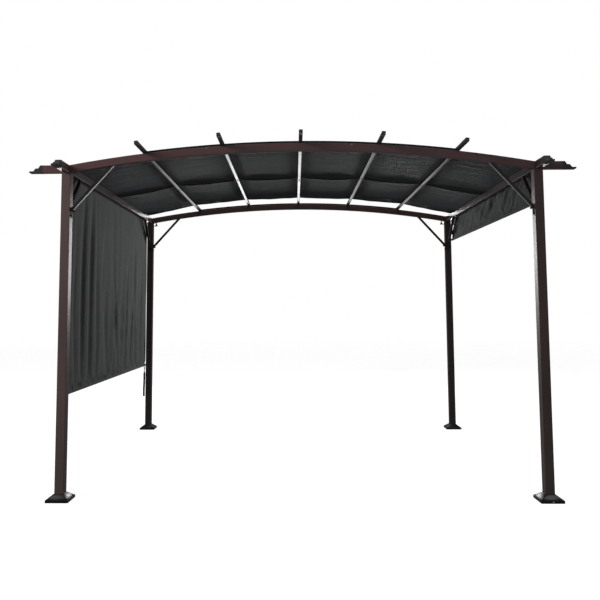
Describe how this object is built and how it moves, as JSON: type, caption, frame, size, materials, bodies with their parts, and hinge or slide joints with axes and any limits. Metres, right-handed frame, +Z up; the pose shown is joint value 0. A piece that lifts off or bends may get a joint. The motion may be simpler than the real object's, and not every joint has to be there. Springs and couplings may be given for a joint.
{
  "type": "arched steel pergola with sliding fabric canopy",
  "caption": "Free-standing arched steel pergola: square posts, arched front and back beams, rafters, corner braces and one fabric canopy that hangs down one side as a curtain.",
  "frame": {"origin": "on the ground at the centre of the four posts", "axes": "+X along the arched beams to the valance side, +Y along the rafters from front to back, +Z up"},
  "size_m": [3.66, 3.05, 2.37],
  "materials": {
    "frame_paint": "satin red-brown powder coat",
    "rafter_paint": "satin dark brown powder coat",
    "foot_plastic": "glossy black moulded plastic",
    "cap_plastic": "dark grey moulded plastic",
    "strip_rubber": "matt black strip",
    "canopy_fabric": "dark grey woven polyester",
    "rod_steel": "black painted tube",
    "strap_webbing": "black woven webbing"
  },
  "bodies": {
    "root": {"post_front_left": "frame_paint", "foot_cover_front_left": "foot_plastic", "beam_end_front_left": "frame_paint", "arch_brace_front_left": "frame_paint", "side_brace_front_left": "frame_paint", "post_front_right": "frame_paint", "foot_cover_front_right": "foot_plastic", "beam_end_front_right": "frame_paint", "arch_brace_front_right": "frame_paint", "side_brace_front_right": "frame_paint", "post_back_left": "frame_paint", "foot_cover_back_left": "foot_plastic", "beam_end_back_left": "frame_paint", "arch_brace_back_left": "frame_paint", "side_brace_back_left": "frame_paint", "post_back_right": "frame_paint", "foot_cover_back_right": "foot_plastic", "beam_end_back_right": "frame_paint", "arch_brace_back_right": "frame_paint", "side_brace_back_right": "frame_paint", "side_beam_left": "frame_paint", "side_beam_right": "frame_paint", "arch_beam_front": "frame_paint", "arch_strip_front": "strip_rubber", "end_caps_front": "cap_plastic", "rafter_1_front": "rafter_paint", "rafter_2_front": "rafter_paint", "rafter_3_front": "rafter_paint", "rafter_4_front": "rafter_paint", "rafter_5_front": "rafter_paint", "arch_beam_back": "frame_paint", "arch_strip_back": "strip_rubber", "end_caps_back": "cap_plastic", "rafter_1_back": "rafter_paint", "rafter_2_back": "rafter_paint", "rafter_3_back": "rafter_paint", "rafter_4_back": "rafter_paint", "rafter_5_back": "rafter_paint", "canopy_roof": "canopy_fabric", "curtain_left": "canopy_fabric", "valance_right": "canopy_fabric", "hem_rod_left": "rod_steel", "hem_rod_right": "rod_steel", "pull_straps": "strap_webbing"}
  },
  "joints": []
}
